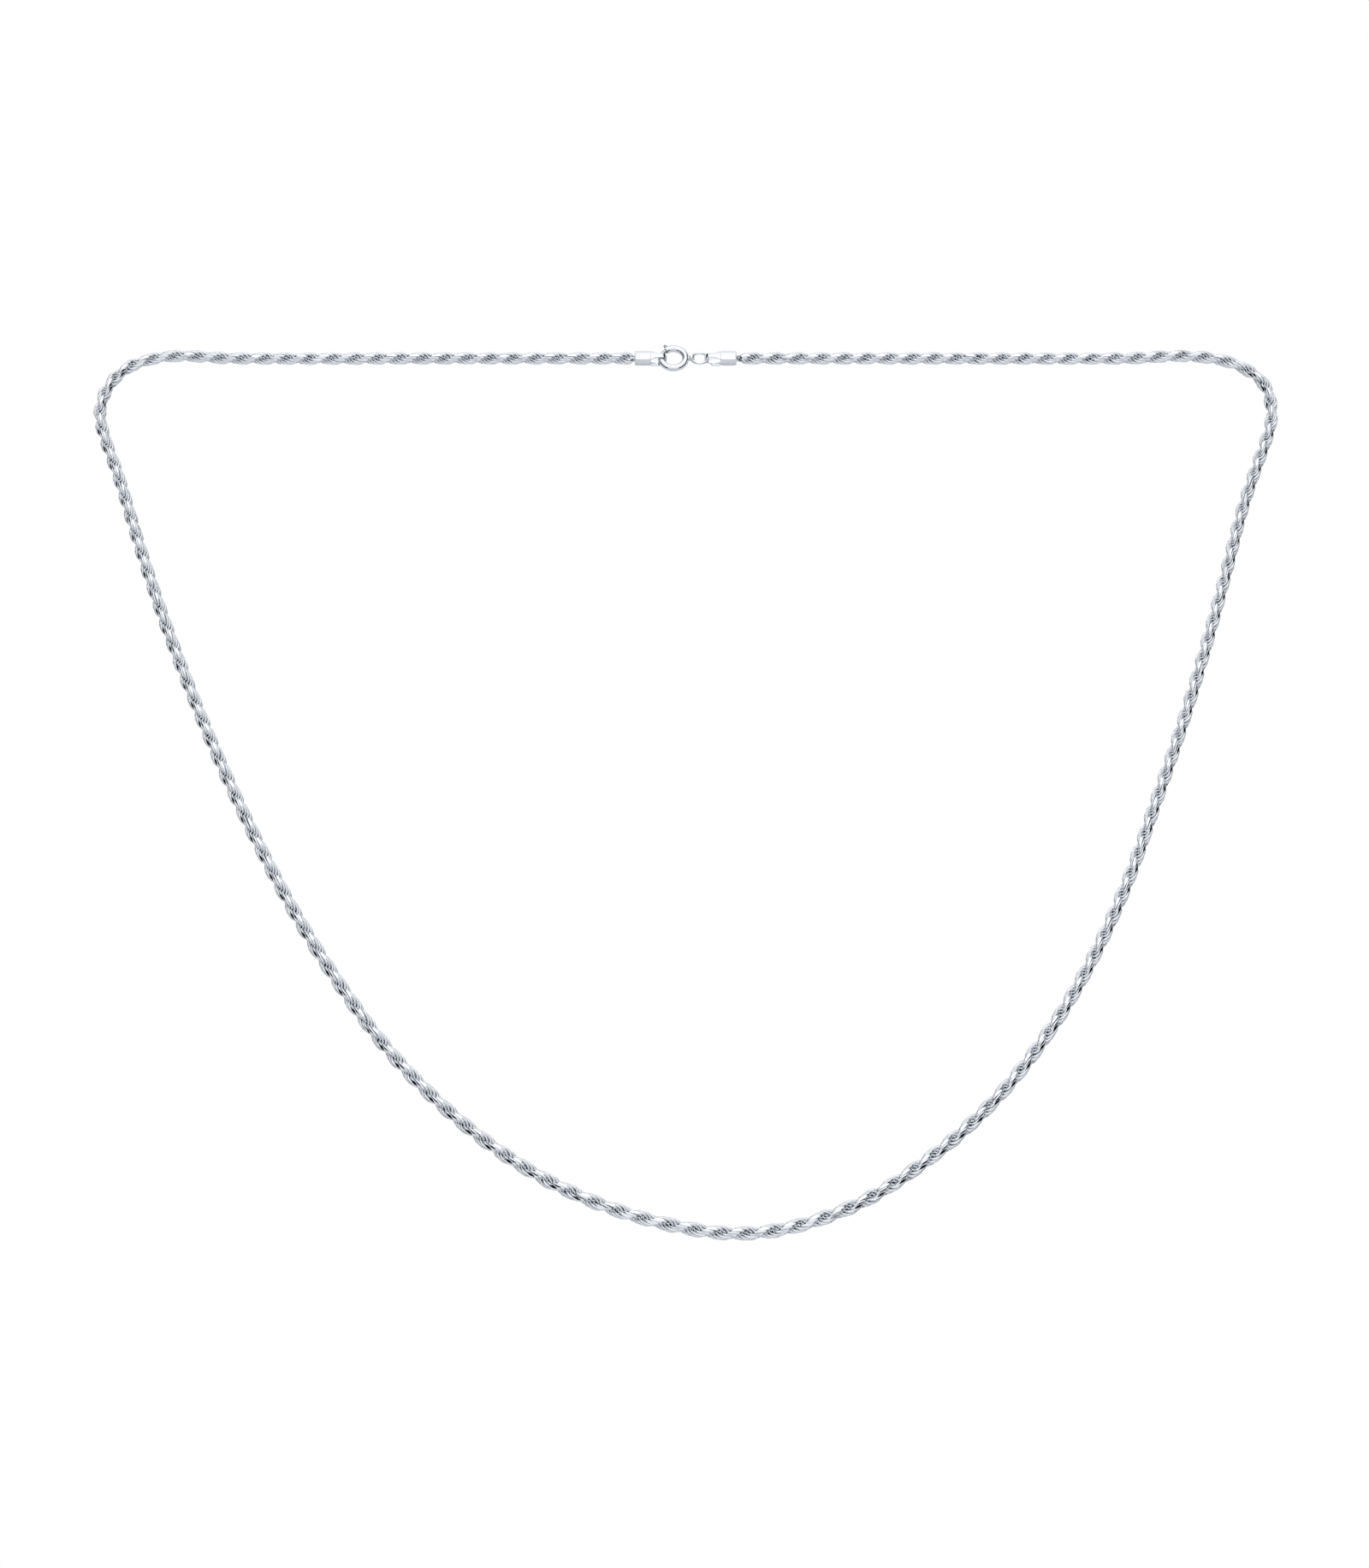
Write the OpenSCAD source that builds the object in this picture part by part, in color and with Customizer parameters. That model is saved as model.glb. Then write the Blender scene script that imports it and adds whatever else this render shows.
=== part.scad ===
// A silver rope chain necklace with a spring ring clasp, lying closed and flat.
// Millimetres. The surface it lies on is z = 0, +Y points away from the wearer's
// front towards the clasp, and the clasp stands at the middle of the far side.

/* [Rope] */
// Thickness of the twisted rope of links
rope_d = 2.2; // [1.8:0.1:3]
// Length over which the rope narrows before it enters an end cap
rope_neck_l = 1.2; // [0.8:0.1:2]
// Length of the rope that is held inside an end cap
rope_tail_l = 2; // [1.2:0.1:2.2]

/* [End caps] */
// Length of the box that is closed round the end of the rope
box_l = 2.9; // [2.6:0.1:4]
// Width of that box
box_w = 2.1; // [2:0.1:2.6]
// Wall between the outside of the box and the rope inside
box_wall = 0.2; // [0.15:0.01:0.3]
// Radius of the long edges of the box
box_corner_r = 0.3; // [0.2:0.05:0.5]
// Width of the strap that forms the loop
strap_w = 0.9; // [0.7:0.05:1.2]
// Thickness of the strap
strap_t = 0.25; // [0.2:0.01:0.35]
// Length over which the upper tongue of the strap widens to the box
strap_taper_l = 1.1; // [0.6:0.1:1.4]
// Width of the lower tongue, a plate that reaches from the box almost to the bend
plate_w = 2; // [1.5:0.1:2.1]
// Length of that plate in front of the box
plate_l = 1.3; // [0.8:0.1:1.3]
// Length over which the plate narrows to the strap
plate_taper_l = 0.4; // [0.2:0.1:0.4]
// Clear length inside the loop, from its bend to the box
loop_l = 2.5; // [2.2:0.1:3.5]

/* [Spring ring] */
// Outer diameter of the ring
ring_od = 5.5; // [5:0.1:7]
// Diameter of the tube that the ring is bent from
ring_tube_d = 1.2; // [1:0.05:1.4]
// Wall of that tube
ring_wall = 0.15; // [0.1:0.01:0.2]
// Angle at the middle of the gap that opens the ring, from the eye
gap_mid_a = 149; // [145:1:155]
// Angle that the gap spans
gap_a = 40; // [30:1:42]
// Size of the eye's rim round the jump ring
eye_rim = 0.25; // [0.2:0.01:0.35]
// Thickness of the eye
eye_t = 0.35; // [0.3:0.01:0.5]

/* [Trigger] */
// Diameter of the bolt that closes the gap
bolt_d = 0.72; // [0.6:0.01:0.74]
// Angle that the bolt reaches into the far side of the gap
bolt_reach_a = 5; // [3:1:8]
// Thickness of the stem between the bolt and its knob
stem_d = 0.3; // [0.25:0.01:0.4]
// Diameter of the knob
knob_d = 0.62; // [0.5:0.01:0.8]
// How far the knob stands proud of the tube
knob_proud = 0.6; // [0.5:0.05:0.9]

/* [Jump ring] */
// Outer diameter of the jump ring
jump_od = 3.4; // [3:0.1:4.5]
// Diameter of its wire
jump_wire_d = 0.45; // [0.4:0.01:0.5]
// Angle by which its near edge is lifted
jump_tilt = 15; // [0:1:20]

/* [Clearances] */
// Play between a strap and what hangs in its loop, above and below
strap_play = 0.15; // [0.12:0.01:0.2]
// Play between the end of a pulled loop and what hangs in it
pull_play = 0.1; // [0.06:0.01:0.15]
// Play between the jump ring's wire and the eye
eye_play = 0.11; // [0.09:0.01:0.15]
// Play between the tail of the rope and the bore that holds it
tail_play = 0.05; // [0.03:0.01:0.1]
// Play between the stem and each side of its slot
slot_play = 0.08; // [0.06:0.01:0.12]

/* [Hidden] */
$fn = 64;

// Colours as the photograph shows them
SILVER = [0.86, 0.87, 0.90];
SILVER_CLASP = [0.90, 0.91, 0.93];

// The route of the rope's centre line, from the left of the clasp round the
// front to the right of it: x and y. The two ends beside the caps are added to it.
rope_route = [
    [-45, 82.5], [-80, 82.5], [-90, 83], [-95.5, 82], [-99.5, 79.5], [-102, 75],
    [-102.5, 70], [-101, 64.5], [-98, 56.5], [-93, 41.5], [-88, 27.5], [-82.5, 13.5],
    [-77, 0.5], [-70.5, -13.5], [-63, -28], [-54.5, -42], [-45, -55], [-33, -67],
    [-20, -76], [-5, -82], [10, -84], [24.5, -80], [37.5, -71.5], [48.5, -61],
    [57.5, -49], [64.5, -37], [71, -23], [76.5, -8.5], [82, 6.5], [87, 21.5],
    [91.5, 36], [95.5, 49.5], [98.5, 58], [101.5, 66], [102.5, 70.5], [102, 76],
    [99.5, 79.5], [95, 82], [88, 83], [78, 82.5], [45, 82.5]];
// Longest distance between two rings of the rope's tube, and its number of sides
rope_ring_step = 12;
rope_sides = 8;

// The clasp's axis runs along X at the height and depth of the rope's two ends.
clasp_y = 82.5;
ring_x = -2.2;
box_h = ring_tube_d + 2 * (strap_play + strap_t);
axis_z = max(rope_d, box_h, box_w) / 2;

// Sizes of the spring ring
ring_r = (ring_od - ring_tube_d) / 2;
ring_bore_d = ring_tube_d - 2 * ring_wall;
gap_start_a = gap_mid_a - gap_a / 2;
gap_end_a = gap_mid_a + gap_a / 2;
slot_w = stem_d + 2 * slot_play;
// Angle that the stem takes up beside its own axis, and the play round it
stem_a = asin((stem_d / 2 + slot_play) / ring_r);
knob_a = gap_start_a - stem_a - 4;
// Angle that the bolt turns through to clear the gap
open_a = gap_a + bolt_reach_a;
slot_start_a = knob_a - open_a - stem_a;

// How far a ring's centre line is from its centre where it leaves a strap's edge
function past_strap(r) = sqrt(pow(r, 2) - pow(strap_w / 2, 2));

// Places along X of what hangs together from left to right
eye_hole_d = jump_wire_d + 2 * eye_play;
eye_land = 0.1;
eye_x = ring_x + ring_od / 2 + eye_land + eye_hole_d / 2;
jump_r = (jump_od - jump_wire_d) / 2;
jump_x = eye_x + jump_r;
loop_reach = strap_t + pull_play;
left_tip_x = ring_x - past_strap(ring_r) + ring_tube_d / 2 + loop_reach;
right_tip_x = jump_x + past_strap(jump_r) - jump_wire_d / 2 - loop_reach;
cap_l = strap_t + loop_l + box_l;
left_face_x = left_tip_x - cap_l;
right_face_x = right_tip_x + cap_l;

// The rope's ends, and the radius of its tube and tails over the corners
tail_bore_d = box_h - 2 * box_wall;
tail_bore_l = rope_tail_l + tail_play;
tail_r = tail_bore_d / 2 - tail_play;
rope_r = rope_d / 2 / cos(180 / rope_sides);
route = concat([[left_face_x - rope_neck_l, clasp_y]], rope_route,
               [[right_face_x + rope_neck_l, clasp_y]]);
last = len(route) - 1;

function unit(v) = v / norm(v);

// Direction of the route at one of its points
function heading(i) = unit(route[min(i + 1, last)] - route[max(i - 1, 0)]);

// A point on the smooth curve between route point i and the next, t from 0 to 1
function on_span(i, t) =
    let (a = route[i], b = route[i + 1], d = norm(b - a))
    a * (2 * pow(t, 3) - 3 * pow(t, 2) + 1)
    + heading(i) * d * (pow(t, 3) - 2 * pow(t, 2) + t)
    + b * (3 * pow(t, 2) - 2 * pow(t, 3))
    + heading(i + 1) * d * (pow(t, 3) - pow(t, 2));

function span_steps(i) = ceil(norm(route[i + 1] - route[i]) / rope_ring_step);

// The rings of the rope's tube, each as x, y and radius over its corners
rope_rings = concat(
    [[left_face_x + rope_tail_l, clasp_y, tail_r], [left_face_x, clasp_y, tail_r]],
    [for (i = [0 : last - 1], k = [0 : span_steps(i) - 1])
        concat(on_span(i, k / span_steps(i)), [rope_r])],
    [[route[last].x, clasp_y, rope_r], [right_face_x, clasp_y, tail_r],
     [right_face_x - rope_tail_l, clasp_y, tail_r]]);

// The corners of one ring, square to the route, with a flat side down
function ring_corners(k) =
    let (n = len(rope_rings) - 1,
         here = rope_rings[k],
         ahead = rope_rings[min(k + 1, n)],
         behind = rope_rings[max(k - 1, 0)],
         way = unit([ahead.x - behind.x, ahead.y - behind.y]))
    [for (j = [0 : rope_sides - 1])
        let (a = (j + 0.5) * 360 / rope_sides, across = here.z * cos(a))
        [here.x - way.y * across, here.y + way.x * across, axis_z + here.z * sin(a)]];

// The rope, as one tube along its whole route, drawn in where the caps hold it
module rope_chain() {
    rings = len(rope_rings);
    corners = [for (k = [0 : rings - 1]) each ring_corners(k)];
    sides = [for (k = [0 : rings - 2], j = [0 : rope_sides - 1])
        let (next = (j + 1) % rope_sides,
             here = k * rope_sides,
             ahead = here + rope_sides)
        each [[here + j, here + next, ahead + next], [here + j, ahead + next, ahead + j]]];
    start = [for (j = [rope_sides - 1 : -1 : 0]) j];
    end = [for (j = [0 : rope_sides - 1]) (rings - 1) * rope_sides + j];
    color(SILVER) polyhedron(corners, concat(sides, [start, end]));
}

// A rectangle with round corners, centred on the origin
module rounded_rectangle(w, h, r) {
    square([w - 2 * r, h], center = true);
    square([w, h - 2 * r], center = true);
    for (x = [-1, 1], y = [-1, 1]) translate([x * (w / 2 - r), y * (h / 2 - r)]) circle(r);
}

// Side view of the strap: a U whose bend is at the origin side
module strap_profile(length) {
    bend_r = box_h / 2;
    difference() {
        union() {
            translate([bend_r, 0]) circle(bend_r);
            translate([bend_r, -bend_r]) square([length - bend_r, box_h]);
        }
        translate([bend_r, 0]) circle(bend_r - strap_t);
        translate([bend_r, strap_t - bend_r]) square([length, box_h - 2 * strap_t]);
    }
}

// The upper tongue seen from above, as it widens from the strap to the box
module tongue_outline() {
    front = strap_t + loop_l;
    back = front + box_l / 2;
    side = box_w / 2 - box_corner_r;
    polygon([[front - strap_taper_l, -strap_w / 2], [front, -side], [back, -side],
             [back, side], [front, side], [front - strap_taper_l, strap_w / 2]]);
}

// The lower tongue seen from above
module plate_outline() {
    front = strap_t + loop_l;
    polygon([[front - plate_l - plate_taper_l, -strap_w / 2], [front - plate_l, -plate_w / 2],
             [front + box_corner_r, -plate_w / 2], [front + box_corner_r, plate_w / 2],
             [front - plate_l, plate_w / 2], [front - plate_l - plate_taper_l, strap_w / 2]]);
}

// An end cap with the tip of its loop at the origin and its box along +X
module end_cap() {
    front = strap_t + loop_l;
    color(SILVER_CLASP) difference() {
        union() {
            rotate([90, 0, 0]) translate([0, 0, -strap_w / 2])
                linear_extrude(strap_w) strap_profile(front + box_l / 2);
            translate([0, 0, box_h / 2 - strap_t]) linear_extrude(strap_t) tongue_outline();
            translate([0, 0, -box_h / 2]) linear_extrude(strap_t) plate_outline();
            translate([front, 0, 0]) rotate([90, 0, 90])
                linear_extrude(box_l) rounded_rectangle(box_w, box_h, box_corner_r);
        }
        translate([cap_l - tail_bore_l, 0, 0]) rotate([0, 90, 0])
            cylinder(d = tail_bore_d, h = tail_bore_l + 1);
    }
}

module end_cap_left() {
    translate([left_tip_x, clasp_y, axis_z]) mirror([1, 0, 0]) end_cap();
}

module end_cap_right() {
    translate([right_tip_x, clasp_y, axis_z]) end_cap();
}

// A round bar bent about the ring's centre, from one angle to another
module bent_bar(d, from_a, to_a) {
    rotate([0, 0, from_a]) rotate_extrude(angle = to_a - from_a)
        translate([ring_r, 0]) circle(d = d);
}

// The fixed eye that the jump ring hangs in, soldered to the side of the ring
module eye() {
    translate([eye_x - ring_x, 0, 0]) rotate([90, 0, 0]) difference() {
        cylinder(d = eye_hole_d + 2 * eye_rim, h = eye_t, center = true);
        cylinder(d = eye_hole_d, h = eye_t + 1, center = true);
    }
}

// The slot that the stem runs in, open to the gap
module stem_slot() {
    outside = ring_r + ring_tube_d;
    rotate([0, 0, slot_start_a]) rotate_extrude(angle = gap_start_a - slot_start_a + 2)
        translate([ring_r, -slot_w / 2]) square([outside - ring_r, slot_w]);
}

module spring_ring() {
    color(SILVER_CLASP) translate([ring_x, clasp_y, axis_z]) difference() {
        union() {
            bent_bar(ring_tube_d, gap_end_a, gap_start_a + 360);
            eye();
        }
        bent_bar(ring_bore_d, gap_end_a - 5, gap_start_a + 365);
        stem_slot();
    }
}

// The bolt that closes the gap, with the knob that draws it back
module spring_ring_trigger() {
    tail_a = knob_a - stem_a - 3;
    knob_x = ring_r + ring_tube_d / 2 + knob_proud - knob_d / 2;
    color(SILVER_CLASP) translate([ring_x, clasp_y, axis_z]) {
        bent_bar(bolt_d, tail_a, gap_end_a + bolt_reach_a);
        rotate([0, 0, knob_a]) {
            translate([ring_r, 0, 0]) rotate([0, 90, 0]) cylinder(d = stem_d, h = knob_x - ring_r);
            translate([knob_x, 0, 0]) sphere(d = knob_d);
        }
    }
}

module jump_ring() {
    color(SILVER_CLASP) translate([jump_x, clasp_y, axis_z]) rotate([-jump_tilt, 0, 0])
        rotate_extrude() translate([jump_r, 0]) circle(d = jump_wire_d);
}

rope_chain();
end_cap_left();
end_cap_right();
spring_ring();
spring_ring_trigger();
jump_ring();
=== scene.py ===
# A silver rope chain necklace with a spring ring clasp, lying flat on a white table.
# Everything is in metres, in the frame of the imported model.
import math
import bmesh
import bpy
import numpy as np
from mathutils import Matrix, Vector


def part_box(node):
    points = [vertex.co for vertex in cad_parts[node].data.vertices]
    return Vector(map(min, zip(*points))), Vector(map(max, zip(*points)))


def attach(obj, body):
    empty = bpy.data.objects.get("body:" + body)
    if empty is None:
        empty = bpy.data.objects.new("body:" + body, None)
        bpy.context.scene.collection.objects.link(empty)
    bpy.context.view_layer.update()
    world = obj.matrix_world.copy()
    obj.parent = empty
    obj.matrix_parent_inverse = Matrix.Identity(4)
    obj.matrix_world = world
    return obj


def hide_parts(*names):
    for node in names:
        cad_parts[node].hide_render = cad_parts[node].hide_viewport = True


MM = 0.001
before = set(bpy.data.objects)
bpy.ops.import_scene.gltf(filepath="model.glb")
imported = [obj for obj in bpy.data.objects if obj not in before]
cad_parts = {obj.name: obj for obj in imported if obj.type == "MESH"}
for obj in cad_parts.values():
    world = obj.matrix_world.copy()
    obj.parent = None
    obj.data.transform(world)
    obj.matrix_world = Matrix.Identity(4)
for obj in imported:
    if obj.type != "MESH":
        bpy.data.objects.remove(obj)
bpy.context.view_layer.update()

# Camera
CAMERA_TARGET = Vector((-0.00024, -0.00503, 0.0011))
CAMERA_DISTANCE = 0.54186
CAMERA_ELEVATION = math.radians(59.3)
CAMERA_LENS_MM = 76.166
CAMERA_SENSOR_MM = 36.0
CAMERA_CLIP = (0.01, 20.0)

# Rope, as part.scad draws its tube
ROPE_ROUTE = [
    (-0.045, 0.0825), (-0.080, 0.0825), (-0.090, 0.083), (-0.0955, 0.082), (-0.0995, 0.0795),
    (-0.102, 0.075), (-0.1025, 0.070), (-0.101, 0.0645), (-0.098, 0.0565), (-0.093, 0.0415),
    (-0.088, 0.0275), (-0.0825, 0.0135), (-0.077, 0.0005), (-0.0705, -0.0135), (-0.063, -0.028),
    (-0.0545, -0.042), (-0.045, -0.055), (-0.033, -0.067), (-0.020, -0.076), (-0.005, -0.082),
    (0.010, -0.084), (0.0245, -0.080), (0.0375, -0.0715), (0.0485, -0.061), (0.0575, -0.049),
    (0.0645, -0.037), (0.071, -0.023), (0.0765, -0.0085), (0.082, 0.0065), (0.087, 0.0215),
    (0.0915, 0.036), (0.0955, 0.0495), (0.0985, 0.058), (0.1015, 0.066), (0.1025, 0.0705),
    (0.102, 0.076), (0.0995, 0.0795), (0.095, 0.082), (0.088, 0.083), (0.078, 0.0825),
    (0.045, 0.0825)]
ROPE_AXIS_Z = 0.0011
ROPE_NECK_L = 1.2 * MM
ROPE_TAIL_L = 1.9 * MM

# Links
TURN_L = 7.97 * MM
LINKS_A_TURN = 14
TURN_START = math.radians(57)
LINK_R = 0.97 * MM
LINK_LONG_R = 1.40 * MM
WIRE_R = 0.22 * MM
SIDE_CUT_R = 1.11 * MM
TOP_CUT_R = 1.05 * MM
DIAGONAL_CUT_R = 1.00 * MM
CUT_SIDES = 8
CUT_TURN = math.radians(-4)
TAIL_R = 0.80 * MM
REACH_R = 1.09 * MM
LINK_SEGMENTS = 32
WIRE_SIDES = 10
LINK_PIECES = 4
LINK_SEED = 7
# Painted shade: each wire's sides, where the neighbouring links touch, are darkened towards the
# crevice colour
CREVICE_SHADE_FROM = 0.1
CREVICE_SHADE_BLEND = 0.6
LINK_TURN_JITTER = math.radians(2.0)
LINK_SHIFT_JITTER = 0.02 * MM

# End caps, measured from the tip of the loop towards the box
CAP_BOX_FROM = 2.75 * MM
CAP_BOX_W = 2.1 * MM
CAP_H = 2.0 * MM
CAP_CROWN = 0.08 * MM
CAP_PRESSED = 0.06 * MM
CAP_SEAM_Z = -0.3 * MM
CAP_SEAM_STEP = 0.06 * MM
SHEET_T = 0.2 * MM
HOLLOW_INSET = 0.6 * MM
LOOP_END_HOLLOW_L = (0.45 * MM, 0.5 * MM)
ROPE_END_HOLLOW_L = (1.0 * MM, 1.2 * MM)
RIM_R = 0.05 * MM
RIM_STEPS = 7
CORNER_R = 0.26 * MM
CROWN_R = 3.5 * MM
SEAM_OUTER_R = 0.05 * MM
SEAM_INNER_R = 0.01 * MM
LOWER_CORNER_R = 0.28 * MM
STRAP_T = 0.25 * MM
STRAP_W = 0.9 * MM
TONGUE_W = 1.8 * MM
TONGUE_TAPER_L = 1.1 * MM
PLATE_W = 2.0 * MM
PLATE_FROM = 1.4 * MM
PLATE_TAPER_L = 0.4 * MM
PLATE_TUCK_W = 0.5 * MM
PLATE_TUCK_L = 0.1 * MM
STRAP_INSIDE_L = 0.4 * MM
STRAP_SUNK = 0.09 * MM
STRAP_SINKS_FROM = 0.2 * MM
STRAP_EDGE_R = 0.09 * MM
STRAP_STEPS = 24
BEND_STEPS = 25
CORNER_STEPS = 5

# Spring ring
RING_OD = 5.5 * MM
RING_TUBE_D = 1.2 * MM
RING_BORE_R = 0.45 * MM
BORE_BLEND = 0.06 * MM

# Metals
ROPE_COLOUR = (0.955, 0.965, 0.985, 1.0)
# Painted shade between the rope's wires
ROPE_CREVICE_SHADE_COLOUR = (0.66, 0.685, 0.735, 1.0)
CLASP_COLOUR = (0.94, 0.95, 0.97, 1.0)
# Painted shade: the trigger is darker than the rest of the clasp, for the dark gap at the mouth of
# the tube
TRIGGER_SHADED_COLOUR = (0.62, 0.63, 0.66, 1.0)
# Painted shade inside the spring ring's tube
BORE_SHADE_COLOUR = (0.12, 0.12, 0.13, 1.0)
ROPE_ROUGHNESS = 0.08
CLASP_ROUGHNESS = 0.06
TRIGGER_ROUGHNESS = 0.16
BORE_ROUGHNESS = 0.6
ROPE_SCRATCH = 0.2
CLASP_SCRATCH = 0.07
RING_SCRATCH = 0.15
TRIGGER_SCRATCH = 0.3
CLOUD_SCALE = 900.0
CLOUD_DIMS_TO = 0.96
GRAIN_SCALE = 6000.0
GRAIN_DEPTH = 0.02 * MM
EDGE_BEVEL_W = 0.05 * MM
EDGE_BEVEL_ANGLE = math.radians(40)

# Studio. Each pair is where a part of it fades, along one axis of the reflected direction.
SIDE_FLAG_ASIDE = (0.44, 0.58)
SIDE_FLAG_TOP = (0.49, 0.63)
FRONT_EDGE = (-0.95, -0.70)
HORIZON_TOP = (0.04, 0.20)
WHITE = (1.0, 1.0, 1.0, 1.0)
SKY_COLOUR = (0.88, 0.905, 0.94, 1.0)
FRONT_COLOUR = (0.50, 0.53, 0.59, 1.0)
HORIZON_COLOUR = (0.10, 0.11, 0.14, 1.0)
SIDE_FLAG_COLOUR = (0.004, 0.005, 0.008, 1.0)
FLOOR_COLOUR = (0.93, 0.94, 0.955, 1.0)
FLOOR_HALF_W = 3.0
LIGHT_PLACE = (0.0, 0.46, 0.77)
LIGHT_SIZE = (0.44, 0.44)
LIGHT_POWER = 0.36


def look_from(target, distance, elevation):
    """The camera looks along +Y and down at target."""
    data = bpy.data.cameras.new("camera")
    data.lens = CAMERA_LENS_MM
    data.sensor_width = CAMERA_SENSOR_MM
    data.sensor_fit = "AUTO"
    data.clip_start, data.clip_end = CAMERA_CLIP
    camera = bpy.data.objects.new("camera", data)
    back = Vector((0.0, -math.cos(elevation), math.sin(elevation)))
    camera.location = target + back * distance
    camera.rotation_euler = (-back).to_track_quat("-Z", "Y").to_euler()
    bpy.context.scene.collection.objects.link(camera)
    bpy.context.scene.camera = camera


def new_material(name):
    """A node material and its tree with only the shader and the output."""
    material = bpy.data.materials.new(name)
    material.use_nodes = True
    return material, material.node_tree


def add_node(tree, kind, **values):
    node = tree.nodes.new(kind)
    for key, value in values.items():
        setattr(node, key, value)
    return node


def floor_material():
    """White to the camera, without a shadow, and slightly greyer in the metal's reflections."""
    material, tree = new_material("white_table")
    shader = tree.nodes["Principled BSDF"]
    shader.inputs["Base Color"].default_value = FLOOR_COLOUR
    shader.inputs["Roughness"].default_value = 1.0
    shader.inputs["Specular IOR Level"].default_value = 0.0
    seen = add_node(tree, "ShaderNodeEmission")
    seen.inputs["Strength"].default_value = 1.0
    seen_shader = add_node(tree, "ShaderNodeMixShader")
    light_path = add_node(tree, "ShaderNodeLightPath")
    tree.links.new(light_path.outputs["Is Camera Ray"], seen_shader.inputs["Fac"])
    tree.links.new(shader.outputs["BSDF"], seen_shader.inputs[1])
    tree.links.new(seen.outputs["Emission"], seen_shader.inputs[2])
    tree.links.new(seen_shader.outputs["Shader"], tree.nodes["Material Output"].inputs["Surface"])
    return material


def map_range(tree, source, from_low, from_high, to_low=0.0, to_high=1.0):
    node = add_node(tree, "ShaderNodeMapRange", interpolation_type="SMOOTHSTEP")
    tree.links.new(source, node.inputs["Value"])
    node.inputs["From Min"].default_value = from_low
    node.inputs["From Max"].default_value = from_high
    node.inputs["To Min"].default_value = to_low
    node.inputs["To Max"].default_value = to_high
    return node.outputs["Result"]


def multiply(tree, a, b):
    node = add_node(tree, "ShaderNodeMath", operation="MULTIPLY")
    tree.links.new(a, node.inputs[0])
    tree.links.new(b, node.inputs[1])
    return node.outputs["Value"]


def mix_colour(tree, factor, low, high):
    """A colour that goes from low to high, each a colour or a socket."""
    node = add_node(tree, "ShaderNodeMix", data_type="RGBA")
    tree.links.new(factor, node.inputs["Factor"])
    for value, socket in ((low, node.inputs[6]), (high, node.inputs[7])):
        if isinstance(value, tuple):
            socket.default_value = value
        else:
            tree.links.new(value, socket)
    return node.outputs[2]


def make_world():
    """A white studio, dark low down at both sides and at the horizon, and greyer in front."""
    world = bpy.data.worlds.new("studio")
    bpy.context.scene.world = world
    world.use_nodes = True
    tree = world.node_tree
    direction = add_node(tree, "ShaderNodeTexCoord").outputs["Generated"]
    axes = add_node(tree, "ShaderNodeSeparateXYZ")
    tree.links.new(direction, axes.inputs[0])
    aside = add_node(tree, "ShaderNodeMath", operation="ABSOLUTE")
    tree.links.new(axes.outputs["X"], aside.inputs[0])
    side = map_range(tree, aside.outputs["Value"], *SIDE_FLAG_ASIDE)
    low = map_range(tree, axes.outputs["Z"], *SIDE_FLAG_TOP, 1.0, 0.0)
    front = map_range(tree, axes.outputs["Y"], *FRONT_EDGE, 1.0, 0.0)
    horizon = map_range(tree, axes.outputs["Z"], *HORIZON_TOP, 1.0, 0.0)
    colour = mix_colour(tree, front, SKY_COLOUR, FRONT_COLOUR)
    colour = mix_colour(tree, horizon, colour, HORIZON_COLOUR)
    colour = mix_colour(tree, multiply(tree, side, low), colour, SIDE_FLAG_COLOUR)
    seen = add_node(tree, "ShaderNodeLightPath").outputs["Is Camera Ray"]
    colour = mix_colour(tree, seen, colour, WHITE)
    tree.links.new(colour, tree.nodes["Background"].inputs["Color"])
    tree.nodes["Background"].inputs["Strength"].default_value = 1.0


def soft_box(name, location, size, power):
    data = bpy.data.lights.new(name, "AREA")
    data.shape = "RECTANGLE"
    data.size, data.size_y = size
    data.energy = power
    light = bpy.data.objects.new(name, data)
    light.location = location
    light.rotation_euler = (-Vector(location)).to_track_quat("-Z", "Y").to_euler()
    bpy.context.scene.collection.objects.link(light)


def make_floor():
    half = FLOOR_HALF_W
    mesh = bpy.data.meshes.new("table_top")
    mesh.from_pydata([(-half, -half, 0), (half, -half, 0), (half, half, 0), (-half, half, 0)],
                     [], [(0, 1, 2, 3)])
    mesh.materials.append(floor_material())
    table = bpy.data.objects.new("table_top", mesh)
    bpy.context.scene.collection.objects.link(table)


def noise(tree, place, scale, detail):
    node = add_node(tree, "ShaderNodeTexNoise")
    node.inputs["Scale"].default_value = scale
    node.inputs["Detail"].default_value = detail
    tree.links.new(place, node.inputs["Vector"])
    return node.outputs["Fac"]


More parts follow.
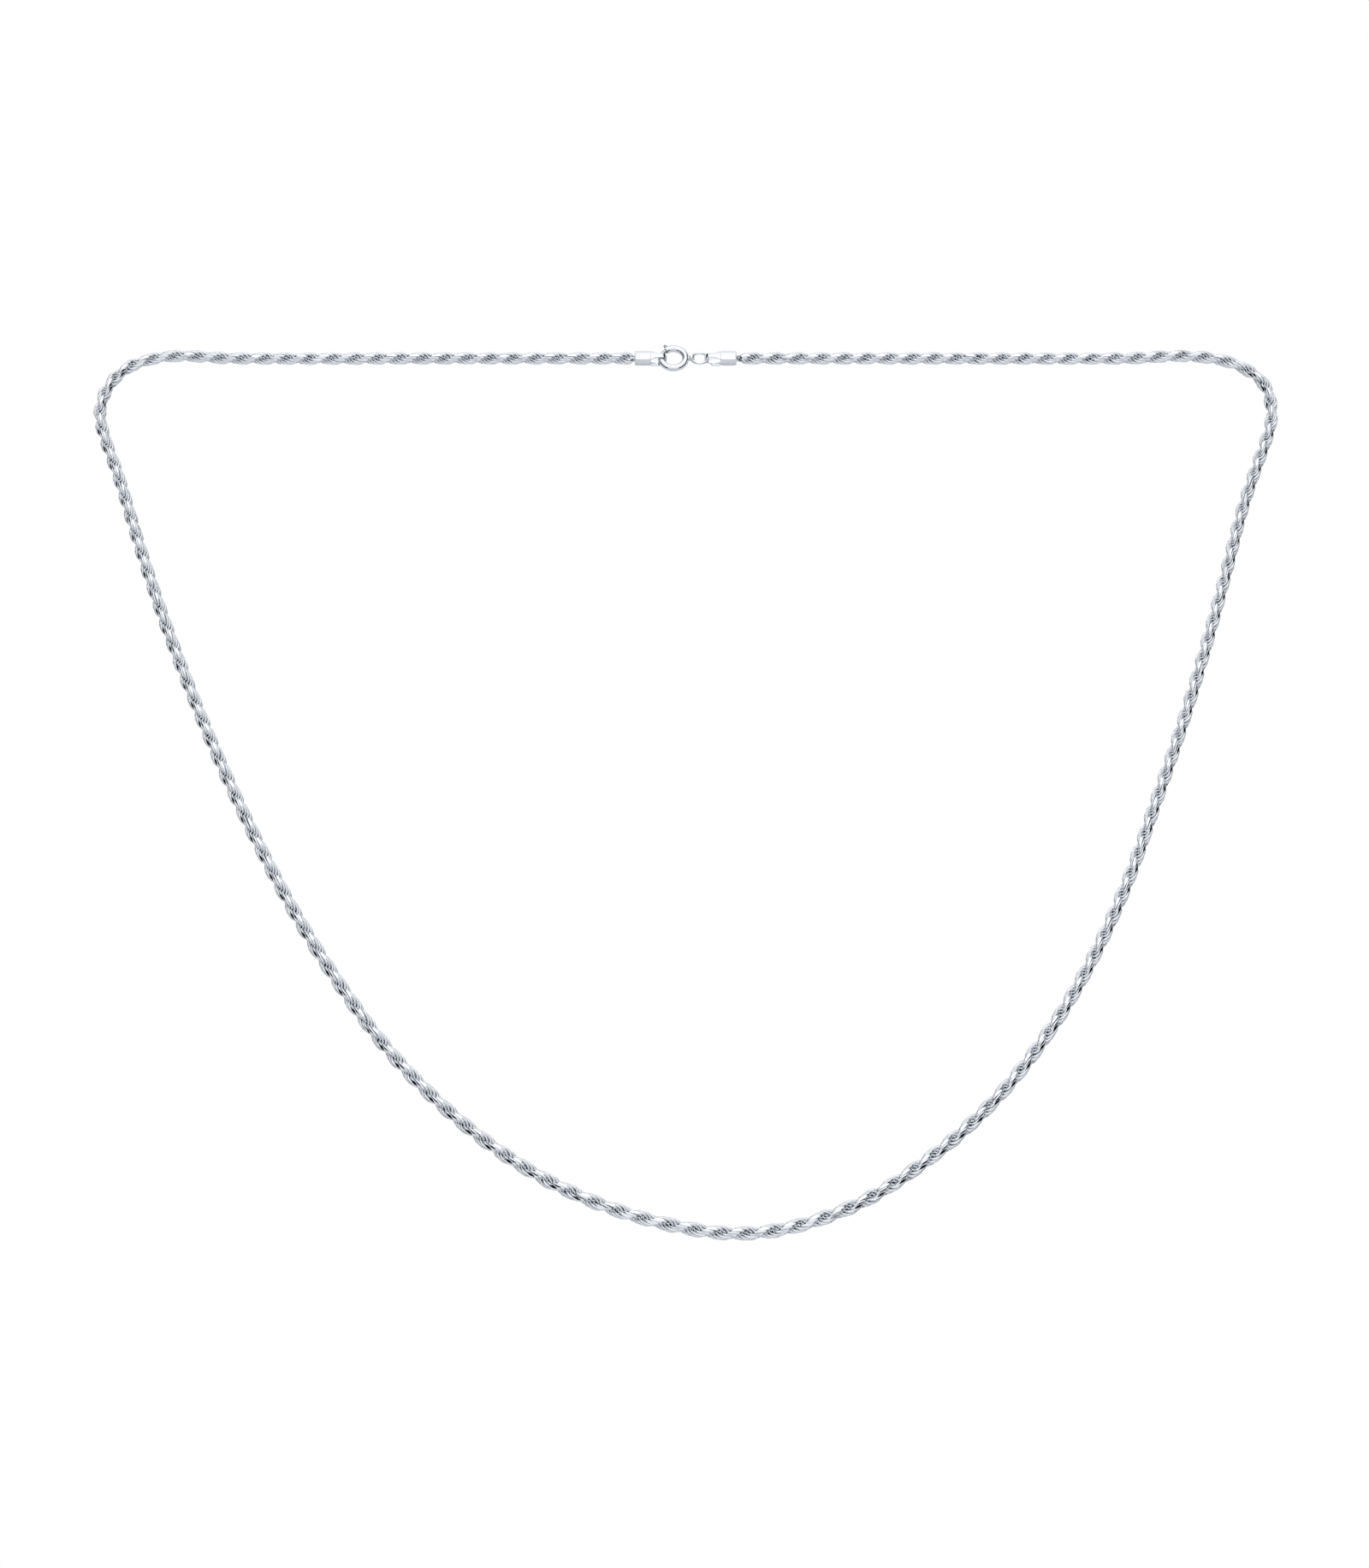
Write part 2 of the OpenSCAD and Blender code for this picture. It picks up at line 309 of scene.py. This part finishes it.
def silver(name, colour, roughness, scratch, painted_shade_colour=None):
    """Polished silver, a little clouded and scratched. Where the mesh marks a crevice between the
    wires, a darker colour is painted in as shade."""
    material, tree = new_material(name)
    shader = tree.nodes["Principled BSDF"]
    shader.inputs["Metallic"].default_value = 1.0
    place = add_node(tree, "ShaderNodeTexCoord").outputs["Object"]
    cloud = noise(tree, place, CLOUD_SCALE, 4.0)
    dimmed = tuple(CLOUD_DIMS_TO * c for c in colour[:3]) + (1.0,)
    base = mix_colour(tree, map_range(tree, cloud, 0.3, 0.7), colour, dimmed)
    # Painted shade in the crevices between the wires, read from the mesh
    if painted_shade_colour:
        crevice_shade = add_node(tree, "ShaderNodeAttribute", attribute_name="crevice_shade").outputs["Fac"]
        base = mix_colour(tree, crevice_shade, base, painted_shade_colour)
    tree.links.new(base, shader.inputs["Base Color"])
    rough = map_range(tree, cloud, 0.3, 0.75, roughness * 0.7, roughness * 1.4)
    tree.links.new(rough, shader.inputs["Roughness"])
    bump = add_node(tree, "ShaderNodeBump")
    bump.inputs["Strength"].default_value = scratch
    bump.inputs["Distance"].default_value = GRAIN_DEPTH
    tree.links.new(noise(tree, place, GRAIN_SCALE, 3.0), bump.inputs["Height"])
    tree.links.new(bump.outputs["Normal"], shader.inputs["Normal"])
    return material


def length_of(tree, source):
    node = add_node(tree, "ShaderNodeVectorMath", operation="LENGTH")
    tree.links.new(source, node.inputs[0])
    return node.outputs["Value"]


def vector_math(tree, operation, source, value):
    node = add_node(tree, "ShaderNodeVectorMath", operation=operation)
    tree.links.new(source, node.inputs[0])
    node.inputs[1].default_value = value
    return node.outputs["Vector"]


def paint_shade_in_bore(material):
    """Leaves the inside of the spring ring's tube rough, since no polish reaches it, and paints it
    nearly black as painted shade.
    """
    tree = material.node_tree
    low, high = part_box("spring_ring")
    centre = (low.x + RING_OD / 2, (low.y + high.y) / 2, ROPE_AXIS_Z)
    place = add_node(tree, "ShaderNodeTexCoord").outputs["Object"]
    from_centre = vector_math(tree, "SUBTRACT", place, centre)
    axes = add_node(tree, "ShaderNodeSeparateXYZ")
    tree.links.new(from_centre, axes.inputs[0])
    level = vector_math(tree, "MULTIPLY", from_centre, (1.0, 1.0, 0.0))
    aside = add_node(tree, "ShaderNodeMath", operation="SUBTRACT")
    tree.links.new(length_of(tree, level), aside.inputs[0])
    aside.inputs[1].default_value = (RING_OD - RING_TUBE_D) / 2
    section = add_node(tree, "ShaderNodeCombineXYZ")
    tree.links.new(aside.outputs["Value"], section.inputs["X"])
    tree.links.new(axes.outputs["Z"], section.inputs["Y"])
    depth = length_of(tree, section.outputs["Vector"])
    inside = map_range(tree, depth, RING_BORE_R, RING_BORE_R + BORE_BLEND, 1.0, 0.0)
    shader = tree.nodes["Principled BSDF"]
    colour, rough = shader.inputs["Base Color"], shader.inputs["Roughness"]
    polished = colour.links[0].from_socket
    # Painted shade: the inside of the tube is coloured nearly black
    tree.links.new(mix_colour(tree, inside, polished, BORE_SHADE_COLOUR), colour)
    tree.links.new(map_range(tree, inside, 0.0, 1.0, CLASP_ROUGHNESS, BORE_ROUGHNESS), rough)
    return material


def on_spans(points):
    """Close points on the smooth curve through the route, as part.scad draws it."""
    steps = 60
    t = np.linspace(0.0, 1.0, steps, endpoint=False)[:, None]
    last = len(points) - 1
    ahead = points[np.minimum(np.arange(last + 1) + 1, last)]
    behind = points[np.maximum(np.arange(last + 1) - 1, 0)]
    heading = (ahead - behind) / np.linalg.norm(ahead - behind, axis=1)[:, None]
    spans = []
    for i in range(last):
        a, b = points[i], points[i + 1]
        d = np.linalg.norm(b - a)
        spans.append(a * (2 * t ** 3 - 3 * t ** 2 + 1) + heading[i] * d * (t ** 3 - 2 * t ** 2 + t)
                     + b * (3 * t ** 2 - 2 * t ** 3) + heading[i + 1] * d * (t ** 3 - t ** 2))
    return np.concatenate(spans + [points[-1:]])


class RopeLine:
    """The rope's centre line, with its tails inside the end caps."""

    def __init__(self):
        left_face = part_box("end_cap_left")[0].x
        right_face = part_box("end_cap_right")[1].x
        y = ROPE_ROUTE[0][1]
        route = np.array([(left_face - ROPE_NECK_L, y)] + ROPE_ROUTE
                         + [(right_face + ROPE_NECK_L, y)])
        start = np.array([(left_face + ROPE_TAIL_L, y)])
        end = np.array([(right_face - ROPE_TAIL_L, y)])
        self.points = np.concatenate([start, on_spans(route), end])
        steps = np.linalg.norm(np.diff(self.points, axis=0), axis=1)
        self.at = np.concatenate([[0.0], np.cumsum(steps)])
        self.length = self.at[-1]
        way = np.gradient(self.points, axis=0)
        self.way = way / np.linalg.norm(way, axis=1)[:, None]

    def place(self, along, aside, up):
        """Points at these distances along the line, to its left and above it."""
        x, y, dx, dy = (np.interp(along, self.at, column) for column in
                        (*self.points.T, *self.way.T))
        size = np.hypot(dx, dy)
        return np.stack([x - dy / size * aside, y + dx / size * aside,
                         np.full_like(x, ROPE_AXIS_Z) + up], axis=-1)


def squeeze(line, along):
    """How far the rope is drawn in: 1 along its length and less in the end caps."""
    from_end = np.minimum(along, line.length - along)
    t = np.clip((from_end - ROPE_TAIL_L) / ROPE_NECK_L, 0.0, 1.0)
    t = t * t * (3 - 2 * t)
    tail = TAIL_R / (LINK_R + WIRE_R)
    return tail + (1 - tail) * t


def link_shapes(count):
    """Every link's points about its own centre, as along, aside and up, and which flat cut each is
    on. Each array is link by segment by wire side."""
    roll = TURN_START - np.arange(count)[:, None, None] * 2 * math.pi / LINKS_A_TURN
    a = np.linspace(0, 2 * math.pi, LINK_SEGMENTS, endpoint=False)[None, :, None]
    b = np.linspace(0, 2 * math.pi, WIRE_SIDES, endpoint=False)[None, None, :]
    out = (LINK_R + WIRE_R * np.cos(b)) * np.sin(a)
    across = WIRE_R * np.sin(b) + 0 * a
    along = (LINK_LONG_R + WIRE_R * np.cos(b)) * np.cos(a) + 0 * roll
    aside = out * np.cos(roll) - across * np.sin(roll)
    up = out * np.sin(roll) + across * np.cos(roll)
    on_cut = np.full(along.shape, -1)
    for k in range(CUT_SIDES):
        angle = k * 2 * math.pi / CUT_SIDES + CUT_TURN
        cut_r = (SIDE_CUT_R, DIAGONAL_CUT_R, TOP_CUT_R, DIAGONAL_CUT_R)[k % 4]
        over = np.maximum(aside * math.cos(angle) + up * math.sin(angle) - cut_r, 0.0)
        aside = aside - over * math.cos(angle)
        up = up - over * math.sin(angle)
        on_cut[over > 0] = k
    return along, aside, up, on_cut


def turn_links(shape, rng):
    """Turns each link a little about its own centre, as loose links lie after they are cut."""
    angles = rng.normal(0, LINK_TURN_JITTER, (3, len(shape[0]), 1, 1))
    shape = list(shape)
    for (p, q), angle in zip(((0, 1), (1, 2), (2, 0)), angles):
        shape[p], shape[q] = (shape[p] * np.cos(angle) - shape[q] * np.sin(angle),
                              shape[p] * np.sin(angle) + shape[q] * np.cos(angle))
    return shape


def link_points(line):
    """Every link's points along the rope's line, and which flat cut each is on. None reaches past
    the solid rope's thickness."""
    rng = np.random.default_rng(LINK_SEED)
    step = TURN_L / LINKS_A_TURN
    reach = LINK_LONG_R + WIRE_R
    count = int((line.length - 2 * reach) / step) + 1
    *shape, on_cut = link_shapes(count)
    along, aside, up = turn_links(shape, rng)
    shift = rng.normal(0, LINK_SHIFT_JITTER, count)
    along = along + (reach + np.arange(count) * step + shift)[:, None, None]
    scale = squeeze(line, along)
    aside, up = (np.clip(value * scale, -REACH_R, REACH_R) for value in (aside, up))
    return along, aside, up, on_cut


def add_piece(name, mesh, material, body):
    """The mesh as a piece that rides on a body."""
    mesh.materials.append(material)
    piece = bpy.data.objects.new(name, mesh)
    bpy.context.scene.collection.objects.link(piece)
    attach(piece, body)
    return piece


def mesh_piece(name, points, faces, flat, crevice_shade, material, body):
    """One joined mesh of quads that rides on a body."""
    mesh = bpy.data.meshes.new(name)
    mesh.vertices.add(len(points))
    mesh.vertices.foreach_set("co", points.astype(np.float32).ravel())
    mesh.loops.add(faces.size)
    mesh.loops.foreach_set("vertex_index", faces.astype(np.int32).ravel())
    mesh.polygons.add(len(faces))
    mesh.polygons.foreach_set("loop_start", np.arange(0, faces.size, 4, dtype=np.int32))
    mesh.polygons.foreach_set("use_smooth", ~flat)
    marks = mesh.attributes.new("crevice_shade", "FLOAT", "POINT")
    marks.data.foreach_set("value", crevice_shade.astype(np.float32))
    mesh.update(calc_edges=True)
    mesh.validate()
    return add_piece(name, mesh, material, body)


def make_links(material):
    """The rope's links in a few joined pieces, which take the place of the solid tube."""
    line = RopeLine()
    along, aside, up, on_cut = link_points(line)
    around = np.linspace(0, 2 * math.pi, WIRE_SIDES, endpoint=False)
    # Painted shade on the sides of each wire, where the neighbouring links touch
    crevice_shade = np.clip((CREVICE_SHADE_FROM - np.cos(around)) / CREVICE_SHADE_BLEND, 0.0, 1.0) + 0 * along
    points = line.place(along, aside, up)
    i = np.arange(LINK_SEGMENTS)[:, None]
    j = np.arange(WIRE_SIDES)[None, :]
    next_i, next_j = (i + 1) % LINK_SEGMENTS, (j + 1) % WIRE_SIDES
    quad = np.stack([i * WIRE_SIDES + j, i * WIRE_SIDES + next_j, next_i * WIRE_SIDES + next_j,
                     next_i * WIRE_SIDES + j], axis=-1).reshape(-1, 4)
    size = LINK_SEGMENTS * WIRE_SIDES
    bounds = np.linspace(0, len(points), LINK_PIECES + 1).astype(int)
    for n in range(LINK_PIECES):
        part = slice(bounds[n], bounds[n + 1])
        count = bounds[n + 1] - bounds[n]
        faces = (quad[None] + np.arange(count)[:, None, None] * size).reshape(-1, 4)
        cuts = on_cut[part].reshape(-1)[faces]
        flat = (cuts[:, 0] >= 0) & (cuts == cuts[:, :1]).all(axis=1)
        piece = mesh_piece(f"rope_links_{n + 1}", points[part].reshape(-1, 3), faces, flat,
                           crevice_shade[part].reshape(-1), material, "necklace")
        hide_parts("rope_chain")


def round_corners(corners):
    """A closed outline with its corners rounded. Each corner is across, up and its radius."""
    outline = []
    for k, (x, y, r) in enumerate(corners):
        here = Vector((x, y))
        back = (Vector(corners[k - 1][:2]) - here).normalized()
        ahead = (Vector(corners[(k + 1) % len(corners)][:2]) - here).normalized()
        half = back.angle(ahead) / 2
        middle = here + (back + ahead).normalized() * r / math.sin(half)
        start = here + back * r / math.tan(half) - middle
        end = here + ahead * r / math.tan(half) - middle
        turn = start.angle_signed(end)
        for i in range(CORNER_STEPS):
            a = -turn * i / (CORNER_STEPS - 1)
            outline.append((middle.x + start.x * math.cos(a) - start.y * math.sin(a),
                            middle.y + start.x * math.sin(a) + start.y * math.cos(a)))
    return np.array(outline)


def loft(name, loops, material, body):
    """A closed skin over a row of loops of equally many points, with a point at each end."""
    count = loops.shape[1]
    tips = [loops[0].mean(axis=0), loops[-1].mean(axis=0)]
    points = np.concatenate([loops.reshape(-1, 3), tips])
    first_end, last_end = len(points) - 2, len(points) - 1
    last_loop = (len(loops) - 1) * count
    faces = []
    for i in range(len(loops) - 1):
        for j in range(count):
            k = (j + 1) % count
            faces.append((i * count + j, i * count + k, (i + 1) * count + k, (i + 1) * count + j))
    for j in range(count):
        k = (j + 1) % count
        faces.append((k, j, first_end))
        faces.append((last_loop + j, last_loop + k, last_end))
    mesh = bpy.data.meshes.new(name)
    mesh.from_pydata(points.tolist(), [], faces)
    mesh.polygons.foreach_set("use_smooth", [True] * len(mesh.polygons))
    mesh.update()
    made = bmesh.new()
    made.from_mesh(mesh)
    bmesh.ops.recalc_face_normals(made, faces=made.faces)
    made.to_mesh(mesh)
    made.free()
    piece = add_piece(name, mesh, material, body)
    weigh = piece.modifiers.new("flat_faces", "WEIGHTED_NORMAL")
    weigh.weight = 100
    weigh.keep_sharp = False
    return piece


def smooth_step(low, high, value):
    t = np.clip((value - low) / (high - low), 0.0, 1.0)
    return t * t * (3 - 2 * t)


def cap_box_loops(length):
    """Loops of the folded box: how far along from the tip of the cap, across and up."""
    w, h = CAP_BOX_W / 2, CAP_H / 2
    low_w = w - CAP_SEAM_STEP
    profile = round_corners([
        (w, h - CAP_CROWN, CORNER_R), (0.4 * w, h, CROWN_R), (-0.4 * w, h, CROWN_R),
        (-w, h - CAP_CROWN, CORNER_R), (-w, CAP_SEAM_Z, SEAM_OUTER_R),
        (-low_w, CAP_SEAM_Z, SEAM_INNER_R), (-low_w, -h, LOWER_CORNER_R),
        (low_w, -h, LOWER_CORNER_R), (low_w, CAP_SEAM_Z, SEAM_INNER_R),
        (w, CAP_SEAM_Z, SEAM_OUTER_R)])
    start, end = CAP_BOX_FROM, length
    wall, floor = LOOP_END_HOLLOW_L
    rows = [(start + floor, HOLLOW_INSET), (start + wall, SHEET_T)]
    rows += [(start + RIM_R, SHEET_T)] + rim(start, 1)
    rows += [(start + (end - start) * t, 0.0) for t in (0.15, 0.35, 0.6, 0.85)]
    rows += rim(end, -1)[::-1] + [(end - RIM_R, SHEET_T)]
    wall, floor = ROPE_END_HOLLOW_L
    rows += [(end - wall, SHEET_T), (end - floor, HOLLOW_INSET)]
    loops = []
    for along, inset in rows:
        inset += CAP_PRESSED * ((2 * along - start - end) / (end - start)) ** 2
        shape = profile * [1 - inset / w, 1 - inset / h]
        loops.append(np.column_stack([np.full(len(shape), along), shape]))
    return np.array(loops)


def rim(at, way):
    """The rounded edge of the sheet at one end of the box, from its inside to its outside."""
    half = SHEET_T / 2
    angles = np.linspace(0, math.pi, RIM_STEPS)
    return [(at + way * RIM_R * (1 - math.sin(a)), half + half * math.cos(a)) for a in angles]


def strap_loops():
    """Loops of the strap: along the upper tongue, round the bend and back along the plate."""
    r = CAP_H / 2 - STRAP_T / 2
    bend_x = CAP_H / 2
    inside = CAP_BOX_FROM + STRAP_INSIDE_L
    top = [(u, r, 0.0, 1.0) for u in np.linspace(inside, bend_x, STRAP_STEPS)]
    bend = [(bend_x - r * math.sin(a), r * math.cos(a), -math.sin(a), math.cos(a))
            for a in np.linspace(0, math.pi, BEND_STEPS)[1:-1]]
    plate = [(u, -r, 0.0, -1.0) for u in np.linspace(bend_x, inside, STRAP_STEPS)]
    loops = []
    for k, (u, z, out_x, out_z) in enumerate(top + bend + plate):
        z -= out_z * STRAP_SUNK * smooth_step(CAP_BOX_FROM - STRAP_SINKS_FROM, inside, u)
        w = STRAP_W
        if k < len(top):
            wider = smooth_step(CAP_BOX_FROM - TONGUE_TAPER_L, CAP_BOX_FROM, u)
            w = STRAP_W + (TONGUE_W - STRAP_W) * wider
        elif k >= len(top) + len(bend):
            wider = smooth_step(PLATE_FROM - PLATE_TAPER_L, PLATE_FROM, u)
            tucked = smooth_step(CAP_BOX_FROM - PLATE_TUCK_L, CAP_BOX_FROM + PLATE_TUCK_L, u)
            w = STRAP_W + (PLATE_W - STRAP_W) * wider - PLATE_TUCK_W * tucked
        half_w, half_t = w / 2, STRAP_T / 2
        shape = round_corners([(side * half_w, height * half_t, STRAP_EDGE_R)
                               for side, height in ((1, 1), (-1, 1), (-1, -1), (1, -1))])
        across, out = shape.T
        loops.append(np.column_stack([u + out_x * out, across, z + out_z * out]))
    return np.array(loops)


def make_cap(side, material):
    """Both pieces of one end cap, folded from sheet."""
    node = f"end_cap_{side}"
    low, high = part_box(node)
    tip, face, way = (high.x, low.x, -1) if side == "left" else (low.x, high.x, 1)
    y = (low.y + high.y) / 2
    for part, loops in (("box", cap_box_loops(abs(face - tip))), ("strap", strap_loops())):
        place = loops * [way, 1, 1] + [tip, y, ROPE_AXIS_Z]
        piece = loft(f"cap_{side}_{part}", place, material, "necklace")
        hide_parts(node)


def dress_node(name, material):
    """Gives one of the solids its silver and soft edges."""
    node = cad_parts[name]
    node.data.materials.clear()
    node.data.materials.append(material)
    bevel = node.modifiers.new("soft_edges", "BEVEL")
    bevel.width = EDGE_BEVEL_W
    bevel.segments = 2
    bevel.limit_method = "ANGLE"
    bevel.angle_limit = EDGE_BEVEL_ANGLE


look_from(CAMERA_TARGET, CAMERA_DISTANCE, CAMERA_ELEVATION)
bpy.context.scene.view_settings.view_transform = "Standard"
make_world()
make_floor()
soft_box("overhead", LIGHT_PLACE, LIGHT_SIZE, LIGHT_POWER)
make_links(silver("rope_silver", ROPE_COLOUR, ROPE_ROUGHNESS, ROPE_SCRATCH,
                  ROPE_CREVICE_SHADE_COLOUR))
clasp_silver = silver("clasp_silver", CLASP_COLOUR, CLASP_ROUGHNESS, CLASP_SCRATCH)
for side in ("left", "right"):
    make_cap(side, clasp_silver)
ring_silver = silver("ring_silver", CLASP_COLOUR, CLASP_ROUGHNESS, RING_SCRATCH)
dress_node("spring_ring", paint_shade_in_bore(ring_silver))
# The trigger's darker colour is painted shade for the gap at the tube's mouth
trigger_silver = silver("trigger_silver", TRIGGER_SHADED_COLOUR, TRIGGER_ROUGHNESS, TRIGGER_SCRATCH)
dress_node("spring_ring_trigger", trigger_silver)
dress_node("jump_ring", clasp_silver)
